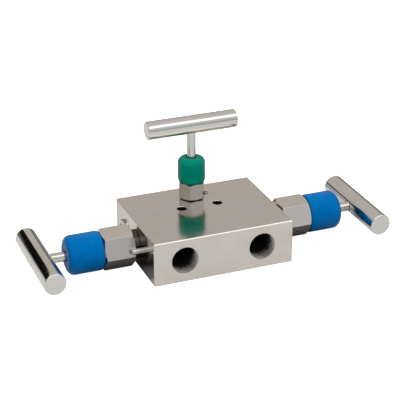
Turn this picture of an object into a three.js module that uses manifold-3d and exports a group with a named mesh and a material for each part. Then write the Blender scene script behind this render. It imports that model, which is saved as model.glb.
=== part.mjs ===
// Three-valve instrument manifold: one bar-stock block, two isolating needle valves on its ends and
// an equalising needle valve on its top, each worked by a T handle.
// Millimetres, +Z up. The origin is the centre of the block's underside. The two process ports face
// -Y, the two instrument ports face +Y, and the isolating valves point along -X and +X.
import * as THREE from 'three';
import { mergeVertices } from 'three/addons/utils/BufferGeometryUtils.js';
import Module from 'manifold-3d';

const wasm = await Module();
wasm.setup();

// ---- Clearances ----
const clearance = 0.3; // left between any two neighbouring pieces
const overrun = 1; // how far a cutter runs past the face it cuts

// ---- Block ----
const blockWidth = 97;
const blockDepth = 76.5;
const blockHeight = 30.2;

// ---- Four 1/2 in taper ports, two in the front face and two in the back ----
const portSpacing = 54;
const portCrestRadius = 9.3;
const portCountersink = 0.8; // how much wider the mouth is than the thread, and how deep
const portFloorFromMiddle = 18.25; // of the block, so that the ports stay clear of the valve pockets
const portDepth = blockDepth / 2 - portFloorFromMiddle;
const portTaper = 1 / 32; // fall of the radius for each millimetre of depth
const portConeDepth = 1.6;
const drillPointSpread = Math.tan(THREE.MathUtils.degToRad(59)); // half of a 118 degree drill point

// ---- Tapped holes for a mounting bracket, in the top face ----
const mountHoleSpacing = 25.6;
const mountHoleY = 6.1;
const mountHoleRadius = 3.4;
const mountHoleDepth = 13;

// ---- Where the valves stand on the block ----
const sideAxisY = -3;
const topAxisX = 0.4;
const topAxisY = 22;

// ---- Drillings inside the block ----
const drillingRadius = 2.2;
const outletReach = 6.7; // from the seat pocket's floor to the end of the drilling below it
const crossDrillingBelowTop = 14; // left cross drilling, into the equalising valve's chamber
const underSeatDrillingBelowTop = 22.2; // right cross drilling, under the equalising valve's seat

// ---- Plugs that close the two cross drillings ----
const plugThreadRadius = 4.6;
const plugHeadLip = 0.6; // of the head beyond the thread
const plugHeadRadius = plugThreadRadius + plugHeadLip;
const plugHeadHeight = 1.9;
const plugThreadLength = 9;
const plugSocketFlats = 5;
const plugSocketDepth = 5;

// ---- The two sizes of needle valve, measured outwards from the face each one is screwed into ----
const sideSize = {
  shankRadius: 8.7, shankLength: 12.5, neckShoulder: 1, neckLength: 4.1,
  hexFlats: 24.4, hexLength: 20.8, bossWall: 4.3, bossLength: 8.7,
  sealThickness: 1, sealAroundTip: 0.6,
  chamberRadius: 5, chamberLength: 5.1, seatLength: 4, orificeRadius: 2, seatConeRadius: 3.4,
  tipRadius: 3.6, tipLength: 5.8, noseRadius: 1.4, buttonRadius: 2.2, buttonLength: 1.4,
  buttonNeckRadius: 1.3, buttonNeckLength: 1.1,
  stemRadius: 3.35, threadRadius: 4.6, threadLength: 18, collarLength: 5, travel: 4.375,
  packingRadius: 6, packingLength: 3, packingBoxDepth: 13.6, followerLength: 2.5,
  glandHeadLip: 2, glandHeadLength: 5.6, lockNutWall: 2.7, lockNutLength: 3.5,
  capSideWall: 2.25, capTopWall: 2, capHeadroom: 3.25, capShoulder: 4.5,
  stemShowing: 9.4, handleRadius: 7.3, handleLength: 71.6, handleHoleDepth: 10.5, handleEdge: 0.6,
  screwRadius: 2, screwSocketFlats: 2, screwSocketDepth: 1.4, screwSunk: 0.5,
  pinRadius: 2, pinBore: 1, pinStands: 8, pinDepth: 8, pinAlongFlat: 3.3,
};
const topSize = {
  shankRadius: 6.2, shankLength: 8.6, neckShoulder: 1, neckLength: 0.5,
  hexFlats: 16.2, hexLength: 11.4, bossWall: 2, bossLength: 5.6,
  sealThickness: 0.8, sealAroundTip: 0.7,
  chamberRadius: 3.9, chamberLength: 6.5, seatLength: 2.4, orificeRadius: 1.5, seatConeRadius: 2.5,
  tipRadius: 2.7, tipLength: 4.9, noseRadius: 1, buttonRadius: 1.7, buttonLength: 1.1,
  buttonNeckRadius: 1, buttonNeckLength: 0.9,
  stemRadius: 3.05, threadRadius: 3.9, threadLength: 10.3, collarLength: 4.2, travel: 3.5,
  packingRadius: 4.9, packingLength: 2, packingBoxDepth: 9, followerLength: 1.6,
  glandHeadLip: 0.9, glandHeadLength: 4.4, lockNutWall: 1, lockNutLength: 2.8,
  capSideWall: 1.75, capTopWall: 1.7, capHeadroom: 2.25, capShoulder: 3.7,
  stemShowing: 17.2, handleRadius: 6.2, handleLength: 63.2, handleHoleDepth: 9, handleEdge: 0.6,
  screwRadius: 1.8, screwSocketFlats: 1.8, screwSocketDepth: 1.3, screwSunk: 0.5,
  pinRadius: 1.75, pinBore: 0.9, pinStands: 1, pinDepth: 6, pinAlongFlat: 4.4,
};
const seatConeSlope = 1.25; // rise of the seat's and the tip's cone for each millimetre of radius
const hexCornerSlope = Math.tan(THREE.MathUtils.degToRad(30)); // of the turned corners
const smallEdge = 0.6; // chamfer on threaded ends and bosses
const capLip = 0.45; // how far a dust cap's mouth draws in

// How far each valve's hexagon is turned about its own axis where its thread came tight, in degrees.
const leftHexTurn = -9.5;
const rightHexTurn = 6.5;
const topHexTurn = 3;

// ---- Finishes ----
const machinedSteel = { color: 0xb4aea6, roughness: 0.3, metalness: 1 };
const polishedSteel = { color: 0xd2d0cc, roughness: 0.12, metalness: 1 };
const groundSteel = { color: 0xc4c0ba, roughness: 0.25, metalness: 1 };
const blackScrew = { color: 0x2c2c2e, roughness: 0.45, metalness: 0.8 };
const brassFinish = { color: 0xb5a05a, roughness: 0.35, metalness: 1 };
const whitePtfe = { color: 0xe9e7e0, roughness: 0.6, metalness: 0 };
const greyGraphite = { color: 0x3a3a3c, roughness: 0.7, metalness: 0.1 };
const bluePlastic = { color: 0x0a5fa8, roughness: 0.3, metalness: 0 };
const greenPlastic = { color: 0x067862, roughness: 0.3, metalness: 0 };

// ---- Making solids ----
// A three.js geometry becomes a solid once its vertices are shared and its empty triangles are gone.
function solidFrom(geometry) {
  geometry.deleteAttribute('normal');
  geometry.deleteAttribute('uv');
  const merged = mergeVertices(geometry, 1e-4);
  const corners = merged.index.array;
  const kept = [];
  for (let i = 0; i < corners.length; i += 3) {
    const [a, b, c] = [corners[i], corners[i + 1], corners[i + 2]];
    if (a !== b && b !== c && c !== a) kept.push(a, b, c);
  }
  return new wasm.Manifold(new wasm.Mesh({
    numProp: 3,
    vertProperties: new Float32Array(merged.attributes.position.array),
    triVerts: new Uint32Array(kept),
  }));
}

// A piece turned about Z from [radius, height] points. A piece on the axis starts and ends there,
// and a ring's outline closes on itself.
function turned(points, sides) {
  const closed = points[0][0] > 0 ? [...points, points[0]] : points;
  const outline = closed.map(([radius, height]) => new THREE.Vector2(radius, height));
  return solidFrom(new THREE.LatheGeometry(outline, sides).rotateX(Math.PI / 2));
}

function rod(radius, from, to, sides) {
  return turned([[0, from], [radius, from], [radius, to], [0, to]], sides);
}

function ring(inner, outer, from, to, sides) {
  return turned([[inner, from], [outer, from], [outer, to], [inner, to]], sides);
}

// A hexagonal prism about Z with its first flat facing +X, turned by an angle in degrees.
function hexPrism(flats, from, to, turn = 0) {
  const prism = new THREE.CylinderGeometry(flats / Math.sqrt(3), flats / Math.sqrt(3), to - from, 6);
  prism.rotateX(Math.PI / 2).rotateZ(THREE.MathUtils.degToRad(turn)).translate(0, 0, (from + to) / 2);
  return solidFrom(prism);
}

// A round hole between two points in the block, run on a little at both ends.
function drillingBetween(start, end, radius) {
  const along = new THREE.Vector3().subVectors(end, start);
  const hole = new THREE.CylinderGeometry(radius, radius, along.length() + overrun, 16);
  const up = new THREE.Vector3(0, 1, 0);
  hole.applyQuaternion(new THREE.Quaternion().setFromUnitVectors(up, along.clone().normalize()));
  hole.translate((start.x + end.x) / 2, (start.y + end.y) / 2, (start.z + end.z) / 2);
  return solidFrom(hole);
}

// The points of a quarter turn from straight out to straight up about a centre.
function roundedShoulder(centreRadius, centreHeight, radius, steps) {
  return Array.from({ length: steps + 1 }, (_, i) => {
    const angle = (i / steps) * Math.PI / 2;
    return [centreRadius + radius * Math.cos(angle), centreHeight + radius * Math.sin(angle)];
  });
}

function piece(name, solid, finish) {
  const { vertProperties, triVerts } = solid.getMesh();
  const geometry = new THREE.BufferGeometry();
  geometry.setAttribute('position', new THREE.BufferAttribute(vertProperties, 3));
  geometry.setIndex(new THREE.BufferAttribute(triVerts, 1));
  geometry.computeVertexNormals();
  const mesh = new THREE.Mesh(geometry, new THREE.MeshStandardMaterial(finish));
  mesh.name = name;
  return mesh;
}

// ---- Sizes and heights that a valve's pieces share ----
// Height 0 is the face of the block. The valve is modelled closed.
function levels(s) {
  const neckRadius = s.shankRadius + s.neckShoulder;
  const bossRadius = s.packingRadius + clearance + s.bossWall;
  const glandFlats = 2 * (s.packingRadius + s.glandHeadLip);
  const lockNutFlats = 2 * (s.packingRadius + clearance + s.lockNutWall);
  const capInner = Math.max(bossRadius, lockNutFlats / Math.sqrt(3)) + clearance;
  const capRadius = capInner + s.capSideWall;
  const sealInner = s.tipRadius + s.sealAroundTip;
  const shankEnd = -s.shankLength;
  const sealEnd = shankEnd - clearance - s.sealThickness;
  const pocketShoulder = sealEnd - clearance;
  const seatTop = pocketShoulder - s.chamberLength;
  const seatEnd = seatTop - s.seatLength;
  const pocketFloor = seatEnd - clearance;
  const seatConeDepth = (s.seatConeRadius - s.orificeRadius) * seatConeSlope;
  const coneLift = clearance * Math.hypot(1, seatConeSlope); // a clearance apart, square to the cone
  const noseBelowOrifice = (s.orificeRadius - s.noseRadius) * seatConeSlope;
  const noseEnd = seatTop - seatConeDepth + coneLift - noseBelowOrifice;
  const tipTop = noseEnd + s.tipLength;
  const threadStart = tipTop + clearance + s.collarLength;
  const threadEnd = threadStart + s.threadLength;
  const backStop = threadEnd + s.travel + clearance;
  const hexStart = s.neckLength;
  const hexEnd = hexStart + s.hexLength;
  const bossEnd = hexEnd + s.bossLength;
  const boxFloor = bossEnd - s.packingBoxDepth;
  const firstPacking = boxFloor + clearance;
  const secondPacking = firstPacking + s.packingLength + clearance;
  const follower = secondPacking + s.packingLength + clearance;
  const glandStart = follower + s.followerLength + clearance;
  const lockNut = bossEnd + clearance;
  const glandHead = lockNut + s.lockNutLength + clearance;
  const glandEnd = glandHead + s.glandHeadLength;
  const capStart = hexEnd + 1.5 * clearance;
  const capEnd = glandEnd + s.capHeadroom + s.capTopWall;
  const handleUnderside = capEnd + s.stemShowing;
  const handleCentre = handleUnderside + s.handleRadius;
  return {
    neckRadius, bossRadius, capInner, capRadius, glandFlats, lockNutFlats, sealInner, shankEnd, sealEnd,
    pocketShoulder, seatTop, seatEnd, pocketFloor, seatConeDepth, coneLift, noseEnd, tipTop,
    threadStart, threadEnd, backStop, hexStart, hexEnd, bossEnd, boxFloor, firstPacking,
    secondPacking, follower, glandStart, lockNut, glandHead, glandEnd, capStart, capEnd,
    handleUnderside, handleCentre,
  };
}

// Where the lock pin stands beside a flat of the bonnet's hexagon.
function pinPlace(s, hexTurn, pinFlat) {
  const facing = THREE.MathUtils.degToRad(hexTurn + 30 + 60 * pinFlat);
  const out = s.hexFlats / 2 + s.pinRadius + clearance;
  const x = out * Math.cos(facing) + s.pinAlongFlat * Math.sin(facing);
  const y = out * Math.sin(facing) - s.pinAlongFlat * Math.cos(facing);
  return [x, y];
}

// ---- Pieces of one needle valve ----
// Bonnet: a threaded shank, a neck, a hexagon with turned corners and a threaded boss, in one piece.
function bonnet(s, z, hexTurn) {
  const corner = s.hexFlats / Math.sqrt(3) + 0.1;
  const cornerDrop = (corner - s.hexFlats / 2) * hexCornerSlope;
  const body = turned([
    [0, z.shankEnd], [s.shankRadius - smallEdge, z.shankEnd], [s.shankRadius, z.shankEnd + smallEdge],
    [s.shankRadius, clearance], [z.neckRadius, clearance], [z.neckRadius, z.hexStart + smallEdge],
    [z.bossRadius, z.hexEnd - smallEdge], [z.bossRadius, z.bossEnd - smallEdge],
    [z.bossRadius - smallEdge, z.bossEnd], [0, z.bossEnd],
  ], 24);
  const turnedCorners = turned([
    [0, z.hexStart], [s.hexFlats / 2, z.hexStart], [corner, z.hexStart + cornerDrop],
    [corner, z.hexEnd - cornerDrop], [s.hexFlats / 2, z.hexEnd], [0, z.hexEnd],
  ], 24);
  const hexagon = hexPrism(s.hexFlats, z.hexStart, z.hexEnd, hexTurn + 30).intersect(turnedCorners);
  const bore = turned([
    [0, z.shankEnd - overrun], [s.threadRadius + clearance, z.shankEnd - overrun],
    [s.threadRadius + clearance, z.backStop], [s.stemRadius + clearance, z.backStop],
    [s.stemRadius + clearance, z.boxFloor], [s.packingRadius + clearance, z.boxFloor],
    [s.packingRadius + clearance, z.bossEnd + overrun], [0, z.bossEnd + overrun],
  ], 18);
  return body.add(hexagon).subtract(bore);
}

// Seat: a pressed-in ring with a cone that the tip closes on.
function seat(s, z) {
  const outer = s.chamberRadius - clearance;
  return turned([
    [s.orificeRadius, z.seatEnd], [outer, z.seatEnd], [outer, z.seatTop],
    [s.seatConeRadius, z.seatTop], [s.orificeRadius, z.seatTop - z.seatConeDepth],
  ], 20);
}

// Tip: it slides but doesn't turn, and is spun over the button at the spindle's end.
function needleTip(s, z) {
  const coneTop = z.seatTop + z.coneLift + (s.tipRadius - s.seatConeRadius) * seatConeSlope;
  const mouth = s.buttonNeckRadius + clearance;
  const socket = s.buttonRadius + clearance;
  const lipUnderside = z.tipTop - s.buttonNeckLength + 2 * clearance;
  const socketFloor = lipUnderside - s.buttonLength - 2 * clearance;
  return turned([
    [0, z.noseEnd], [s.noseRadius, z.noseEnd], [s.tipRadius, coneTop], [s.tipRadius, z.tipTop],
    [mouth, z.tipTop], [mouth, lipUnderside], [socket, lipUnderside], [socket, socketFloor],
    [0, socketFloor],
  ], 20);
}

// Spindle: a button, a collar, the working thread and the plain stem that enters the handle.
function spindle(s, z) {
  const buttonTop = z.tipTop - s.buttonNeckLength + clearance;
  const buttonEnd = buttonTop - s.buttonLength;
  const stemEnd = z.handleUnderside + s.handleHoleDepth - clearance;
  return turned([
    [0, buttonEnd], [s.buttonRadius, buttonEnd], [s.buttonRadius, buttonTop],
    [s.buttonNeckRadius, buttonTop], [s.buttonNeckRadius, z.tipTop + clearance],
    [s.stemRadius, z.tipTop + clearance], [s.stemRadius, z.threadStart],
    [s.threadRadius, z.threadStart + smallEdge], [s.threadRadius, z.threadEnd - smallEdge],
    [s.stemRadius, z.threadEnd], [s.stemRadius, stemEnd], [0, stemEnd],
  ], 20);
}

// Gland bolt: screws into the boss and presses the follower on the packing.
function glandBolt(s, z) {
  const shank = rod(s.packingRadius, z.glandStart, z.glandHead + smallEdge, 18);
  const head = hexPrism(z.glandFlats, z.glandHead, z.glandEnd);
  const bore = rod(s.stemRadius + clearance, z.glandStart - overrun, z.glandEnd + overrun, 20);
  return shank.add(head).subtract(bore);
}

function lockNut(s, z) {
  const top = z.lockNut + s.lockNutLength;
  const bore = rod(s.packingRadius + clearance, z.lockNut - overrun, top + overrun, 20);
  return hexPrism(z.lockNutFlats, z.lockNut, top).subtract(bore);
}

// Dust cap: a moulded cup pushed over the boss, with a lip at its mouth and a hole for the stem.
function dustCap(s, z) {
  const hole = s.stemRadius + clearance;
  const ceiling = z.capEnd - s.capTopWall;
  const innerShoulder = s.capShoulder - s.capTopWall;
  const shoulderCentre = [z.capRadius - s.capShoulder, z.capEnd - s.capShoulder];
  return turned([
    [z.capInner, z.capStart], [z.capRadius - capLip, z.capStart], [z.capRadius, z.capStart + 2 * capLip],
    ...roundedShoulder(...shoulderCentre, s.capShoulder, 4), [hole, z.capEnd], [hole, ceiling],
    [z.capInner - innerShoulder, ceiling], [z.capInner, ceiling - innerShoulder],
  ], 24);
}

// Handle: a bar across the stem, with a blind hole for the stem and a hole for its set screw.
function tHandle(s, z, screwSide) {
  const half = s.handleLength / 2;
  const bar = turned([
    [0, -half], [s.handleRadius - s.handleEdge, -half], [s.handleRadius, -half + s.handleEdge],
    [s.handleRadius, half - s.handleEdge], [s.handleRadius - s.handleEdge, half], [0, half],
  ], 24).rotate([0, 90, 0]).translate([0, 0, z.handleCentre]);
  const holeEnd = z.handleUnderside + s.handleHoleDepth;
  const stemHole = rod(s.stemRadius + clearance, z.handleUnderside - overrun, holeEnd, 20);
  const screwHole = rod(s.screwRadius + clearance, 0, s.handleRadius + overrun, 12);
  return bar.subtract(stemHole).subtract(acrossStem(screwHole, z, screwSide));
}

// Set screw: bears on the stem from the side, sunk a little below the bar's surface.
function handleScrew(s, z, screwSide) {
  const end = s.handleRadius - s.screwSunk;
  const socket = hexPrism(s.screwSocketFlats, end - s.screwSocketDepth, end + overrun);
  const screw = rod(s.screwRadius, s.stemRadius + clearance, end, 12).subtract(socket);
  return acrossStem(screw, z, screwSide);
}

// Turns a piece from the stem's direction to across it, at the handle's height.
function acrossStem(solid, z, screwSide) {
  return solid.rotate([-90 * screwSide, 0, 0]).translate([0, 0, z.handleCentre]);
}

// Lock pin: a hollow spring pin in the block that keeps the bonnet from turning.
function lockPin(s, hexTurn, pinFlat) {
  const [x, y] = pinPlace(s, hexTurn, pinFlat);
  return ring(s.pinBore, s.pinRadius, -s.pinDepth + clearance, s.pinStands, 16).translate([x, y, 0]);
}

// All the pieces of one valve, in its own frame: +Z points out of the block, the handle lies along X,
// and screwSide is +1 or -1 for the set screw's side of the bar along Y.
function needleValve(name, s, hexTurn, pinFlat, screwSide, capFinish) {
  const z = levels(s);
  const valve = new THREE.Group();
  const packingBore = s.stemRadius + clearance;
  valve.add(
    piece(`${name}_bonnet`, bonnet(s, z, hexTurn), machinedSteel),
    piece(`${name}_bonnet_seal`, ring(z.sealInner, s.shankRadius - smallEdge, z.sealEnd,
      z.sealEnd + s.sealThickness, 20), greyGraphite),
    piece(`${name}_seat`, seat(s, z), groundSteel),
    piece(`${name}_needle_tip`, needleTip(s, z), groundSteel),
    piece(`${name}_spindle`, spindle(s, z), groundSteel),
    piece(`${name}_packing_inner`, ring(packingBore, s.packingRadius, z.firstPacking,
      z.firstPacking + s.packingLength, 18), whitePtfe),
    piece(`${name}_packing_outer`, ring(packingBore, s.packingRadius, z.secondPacking,
      z.secondPacking + s.packingLength, 18), whitePtfe),
    piece(`${name}_gland_follower`, ring(packingBore, s.packingRadius, z.follower,
      z.follower + s.followerLength, 18), brassFinish),
    piece(`${name}_gland_bolt`, glandBolt(s, z), machinedSteel),
    piece(`${name}_lock_nut`, lockNut(s, z), machinedSteel),
    piece(`${name}_dust_cap`, dustCap(s, z), capFinish),
    piece(`${name}_t_handle`, tHandle(s, z, screwSide), polishedSteel),
    piece(`${name}_handle_screw`, handleScrew(s, z, screwSide), blackScrew),
    piece(`${name}_lock_pin`, lockPin(s, hexTurn, pinFlat), groundSteel),
  );
  return valve;
}

// What one valve takes out of the block, in the valve's own frame.
function valvePocket(s, hexTurn, pinFlat) {
  const z = levels(s);
  const [x, y] = pinPlace(s, hexTurn, pinFlat);
  const pocket = turned([
    [0, z.pocketFloor - outletReach], [drillingRadius, z.pocketFloor - outletReach],
    [drillingRadius, z.pocketFloor], [s.chamberRadius, z.pocketFloor],
    [s.chamberRadius, z.pocketShoulder], [s.shankRadius + clearance, z.pocketShoulder],
    [s.shankRadius + clearance, overrun], [0, overrun],
  ], 24);
  const pinHole = rod(s.pinRadius + clearance, -s.pinDepth, overrun, 16).translate([x, y, 0]);
  return pocket.add(pinHole);
}

// ---- Placing the valves ----
const sideAxisZ = blockHeight / 2;
const leftTurn = new THREE.Matrix4().makeBasis(
  new THREE.Vector3(0, -1, 0), new THREE.Vector3(0, 0, 1), new THREE.Vector3(-1, 0, 0));
const rightTurn = new THREE.Matrix4().makeBasis(
  new THREE.Vector3(0, 1, 0), new THREE.Vector3(0, 0, 1), new THREE.Vector3(1, 0, 0));
const upright = new THREE.Matrix4();
const onBlock = (turn, x, y, z) => new THREE.Matrix4().makeTranslation(x, y, z).multiply(turn);
const leftPlace = onBlock(leftTurn, -blockWidth / 2, sideAxisY, sideAxisZ);
const rightPlace = onBlock(rightTurn, blockWidth / 2, sideAxisY, sideAxisZ);
const topPlace = onBlock(upright, topAxisX, topAxisY, blockHeight);

const placed = (solid, place) => solid.transform(place.elements);
const leftPinFlat = 0;
const rightPinFlat = -1;
const topPinFlat = 0;

// ---- The block ----
function port(x, side) {
  const y = side * blockDepth / 2;
  const endRadius = portCrestRadius - portDepth * portTaper;
  const mouthRadius = portCrestRadius + portCountersink;
  const hole = turned([
    [0, -portDepth - portConeDepth],
    [endRadius - portConeDepth * drillPointSpread, -portDepth - portConeDepth],
    [endRadius, -portDepth], [portCrestRadius, -portCountersink], [mouthRadius, 0],
    [mouthRadius, overrun], [0, overrun],
  ], 24);
  return hole.rotate([side > 0 ? -90 : 90, 0, 0]).translate([x, y, sideAxisZ]);
}

// A counterbored hole along X from an end face to the equalising valve, with a pocket for its plug.
function crossDrilling(side, height) {
  const face = blockWidth / 2;
  const hole = turned([
    [0, side * topAxisX], [drillingRadius, side * topAxisX],
    [drillingRadius, face - plugThreadLength - clearance],
    [plugThreadRadius + clearance, face - plugThreadLength - clearance],
    [plugThreadRadius + clearance, face + overrun], [0, face + overrun],
  ], 16);
  return hole.rotate([0, side * 90, 0]).translate([0, topAxisY, height]);
}

function block() {
  const bar = new THREE.BoxGeometry(blockWidth, blockDepth, blockHeight);
  let solid = solidFrom(bar.translate(0, 0, blockHeight / 2));
  solid = solid.subtract(placed(valvePocket(sideSize, leftHexTurn, leftPinFlat), leftPlace));
  solid = solid.subtract(placed(valvePocket(sideSize, rightHexTurn, rightPinFlat), rightPlace));
  solid = solid.subtract(placed(valvePocket(topSize, topHexTurn, topPinFlat), topPlace));
  const z = levels(sideSize);
  const chamberX = blockWidth / 2 + (z.seatTop + z.pocketShoulder) / 2;
  const outletX = blockWidth / 2 + z.pocketFloor - outletReach + drillingRadius;
  for (const side of [-1, 1]) {
    const x = side * portSpacing / 2;
    const inlet = new THREE.Vector3(x, -portFloorFromMiddle, sideAxisZ);
    const chamber = new THREE.Vector3(side * chamberX, sideAxisY, sideAxisZ);
    const outlet = new THREE.Vector3(x, portFloorFromMiddle, sideAxisZ);
    const underSeat = new THREE.Vector3(side * outletX, sideAxisY, sideAxisZ);
    const mountHole = rod(mountHoleRadius, blockHeight - mountHoleDepth, blockHeight + overrun, 20)
      .translate([side * mountHoleSpacing / 2, mountHoleY, 0]);
    solid = solid.subtract(port(x, -1)).subtract(port(x, 1));
    solid = solid.subtract(drillingBetween(inlet, chamber, drillingRadius));
    solid = solid.subtract(drillingBetween(outlet, underSeat, drillingRadius));
    solid = solid.subtract(mountHole);
  }
  solid = solid.subtract(crossDrilling(-1, blockHeight - crossDrillingBelowTop));
  return solid.subtract(crossDrilling(1, blockHeight - underSeatDrillingBelowTop));
}

// Plug: a round head on a thread, with a hexagon socket.
function crossPlug(side, height) {
  const face = blockWidth / 2;
  const end = face + clearance + plugHeadHeight;
  const body = turned([
    [0, face - plugThreadLength], [plugThreadRadius, face - plugThreadLength],
    [plugThreadRadius, face + clearance], [plugHeadRadius, face + clearance],
    [plugHeadRadius, end - 0.4], [plugHeadRadius - 0.4, end], [0, end],
  ], 20);
  const socket = hexPrism(plugSocketFlats, end - plugSocketDepth, end + overrun);
  return body.subtract(socket).rotate([0, side * 90, 0]).translate([0, topAxisY, height]);
}

// ---- The whole manifold ----
const manifold = new THREE.Group();
manifold.add(
  piece('manifold_block', block(), machinedSteel),
  piece('left_cross_plug', crossPlug(-1, blockHeight - crossDrillingBelowTop), machinedSteel),
  piece('right_cross_plug', crossPlug(1, blockHeight - underSeatDrillingBelowTop), machinedSteel),
);
const valves = [
  [needleValve('left', sideSize, leftHexTurn, leftPinFlat, -1, bluePlastic), leftPlace],
  [needleValve('right', sideSize, rightHexTurn, rightPinFlat, -1, bluePlastic), rightPlace],
  [needleValve('top', topSize, topHexTurn, topPinFlat, 1, greenPlastic), topPlace],
];
for (const [valve, place] of valves) {
  valve.applyMatrix4(place);
  manifold.add(valve);
}

export default manifold;
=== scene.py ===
import math

import bmesh
import bpy
from mathutils import Matrix, Vector


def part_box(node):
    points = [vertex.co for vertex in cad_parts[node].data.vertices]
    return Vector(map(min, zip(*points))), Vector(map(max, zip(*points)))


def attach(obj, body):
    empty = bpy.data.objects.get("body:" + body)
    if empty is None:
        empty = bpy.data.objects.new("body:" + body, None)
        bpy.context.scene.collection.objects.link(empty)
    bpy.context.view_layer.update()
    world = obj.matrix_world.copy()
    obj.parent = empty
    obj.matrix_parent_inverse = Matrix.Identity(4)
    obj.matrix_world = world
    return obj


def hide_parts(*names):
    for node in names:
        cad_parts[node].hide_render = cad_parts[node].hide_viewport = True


# Three-valve instrument manifold: a bar-stock block, two isolating needle valves on its ends and an
# equalising needle valve on its top, each with a dust cap and a T handle.
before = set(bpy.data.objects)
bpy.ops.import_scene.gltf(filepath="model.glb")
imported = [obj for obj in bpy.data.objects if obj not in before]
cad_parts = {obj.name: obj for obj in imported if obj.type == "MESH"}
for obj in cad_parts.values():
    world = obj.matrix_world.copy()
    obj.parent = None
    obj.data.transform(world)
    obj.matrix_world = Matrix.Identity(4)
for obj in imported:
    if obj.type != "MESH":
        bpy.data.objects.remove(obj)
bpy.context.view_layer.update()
scene = bpy.context.scene
scene.view_settings.view_transform = "Standard"

# ---- Camera ----
# A long lens from in front, left and above, with its centre line just above the block's middle. It is
# held a little out of level.
camera_data = bpy.data.cameras.new("camera")
camera_data.lens = 124.9
camera_data.sensor_width = 36
camera = bpy.data.objects.new("camera", camera_data)
aim = Vector((-0.0020, 0.0002, 0.0372))
away = 0.923
sideways = math.radians(-21.24)
upwards = math.radians(24.9)
roll = math.radians(-0.33)
line_of_sight = Vector((
    math.sin(sideways) * math.cos(upwards), -math.cos(sideways) * math.cos(upwards), math.sin(upwards)))
camera.location = aim + away * line_of_sight
level = line_of_sight.to_track_quat("Z", "Y").to_matrix().to_4x4()
camera.rotation_euler = (level @ Matrix.Rotation(roll, 4, "Z")).to_euler()
scene.collection.objects.link(camera)
scene.camera = camera


# ---- Studio floor and light ----
# White laminate that fills the view. What the steel reflects of it is a second sheet that is white in
# front, grey behind and grey in a strip of painted shadow under the block and the side valves, under a
# bright ceiling, with grey walls and a dark band at the horizon.
def linear(code):
    """A six-digit sRGB hex colour as linear red, green, blue and alpha."""
    shares = [int(code[i:i + 2], 16) / 255 for i in (0, 2, 4)]
    return [s / 12.92 if s <= 0.04045 else ((s + 0.055) / 1.055) ** 2.4 for s in shares] + [1]


def add_node(tree, kind, settings, links):
    """Adds a node, gives it its settings and sets or links its sockets."""
    node = tree.nodes.new(kind)
    for key, value in settings.items():
        if key == "stops":
            stops = node.color_ramp.elements
            while len(stops) < len(value):
                stops.new(1)
            for stop, (place, colour) in zip(stops, value):
                stop.position = place
                stop.color = colour
        else:
            setattr(node, key, value)
    for key, value in links.items():
        if isinstance(value, bpy.types.NodeSocket):
            tree.links.new(value, node.inputs[key])
        else:
            node.inputs[key].default_value = value
    return node


def bare_finish(name):
    """A new material with no nodes yet, and its node tree."""
    material = bpy.data.materials.new(name)
    material.use_nodes = True
    material.node_tree.nodes.clear()
    return material, material.node_tree


def laminate(name, dark, glow_strength):
    """White laminate that glows a little. It turns to the dark colour behind the block, except on the
    left, and in a strip under the block and the side valves that is a painted shadow."""
    sheet, tree = bare_finish(name)
    where = add_node(tree, "ShaderNodeTexCoord", {}, {})
    split = add_node(tree, "ShaderNodeSeparateXYZ", {}, {"Vector": where.outputs["Object"]})
    behind = add_node(tree, "ShaderNodeMapRange", {},
                      {"Value": split.outputs["Y"], "From Min": 0.06, "From Max": 0.15})
    beside = add_node(tree, "ShaderNodeMapRange", {},
                      {"Value": split.outputs["X"], "From Min": -0.08, "From Max": -0.03})
    back = add_node(tree, "ShaderNodeMath", {"operation": "MULTIPLY"},
                    {0: behind.outputs[0], 1: beside.outputs[0]})
    across = add_node(tree, "ShaderNodeMath", {"operation": "ADD"}, {0: split.outputs["Y"], 1: 0.008})
    from_axis = add_node(tree, "ShaderNodeMath", {"operation": "ABSOLUTE"}, {0: across.outputs[0]})
    under = add_node(tree, "ShaderNodeMapRange", {},
                     {"Value": from_axis.outputs[0], "From Min": 0.016, "From Max": 0.030,
                      "To Min": 1.0, "To Max": 0.0})
    along = add_node(tree, "ShaderNodeMath", {"operation": "ABSOLUTE"}, {0: split.outputs["X"]})
    near = add_node(tree, "ShaderNodeMapRange", {},
                    {"Value": along.outputs[0], "From Min": 0.080, "From Max": 0.100,
                     "To Min": 1.0, "To Max": 0.0})
    # The strip under the block and the side valves is a painted shadow.
    shade = add_node(tree, "ShaderNodeMath", {"operation": "MULTIPLY"},
                     {0: under.outputs[0], 1: near.outputs[0]})
    back_and_painted_shadow = add_node(tree, "ShaderNodeMath", {"operation": "MAXIMUM"},
                       {0: back.outputs[0], 1: shade.outputs[0]})
    grain = add_node(tree, "ShaderNodeTexNoise", {}, {"Vector": where.outputs["Object"], "Scale": 60.0})
    tint = add_node(tree, "ShaderNodeValToRGB",
                    {"stops": [(0.3, linear("CBCBC9")), (0.7, linear("D2D2D1"))]},
                    {"Fac": grain.outputs["Fac"]})
    cover = add_node(tree, "ShaderNodeMix", {"data_type": "RGBA"},
                     {"Factor": back_and_painted_shadow.outputs[0], 6: tint.outputs["Color"], 7: linear(dark)})
    matt = add_node(tree, "ShaderNodeBsdfDiffuse", {}, {"Color": cover.outputs[2]})
    glow = add_node(tree, "ShaderNodeEmission", {}, {"Color": linear("FFFFFF"), "Strength": glow_strength})
    both = add_node(tree, "ShaderNodeAddShader", {}, {0: matt.outputs[0], 1: glow.outputs[0]})
    add_node(tree, "ShaderNodeOutputMaterial", {}, {"Surface": both.outputs[0]})
    return sheet


# The seen floor's dark colour is its own white, so it shows no painted shadow. The sheet in the steel is
# 666666 behind and in the painted shadow strip.
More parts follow.
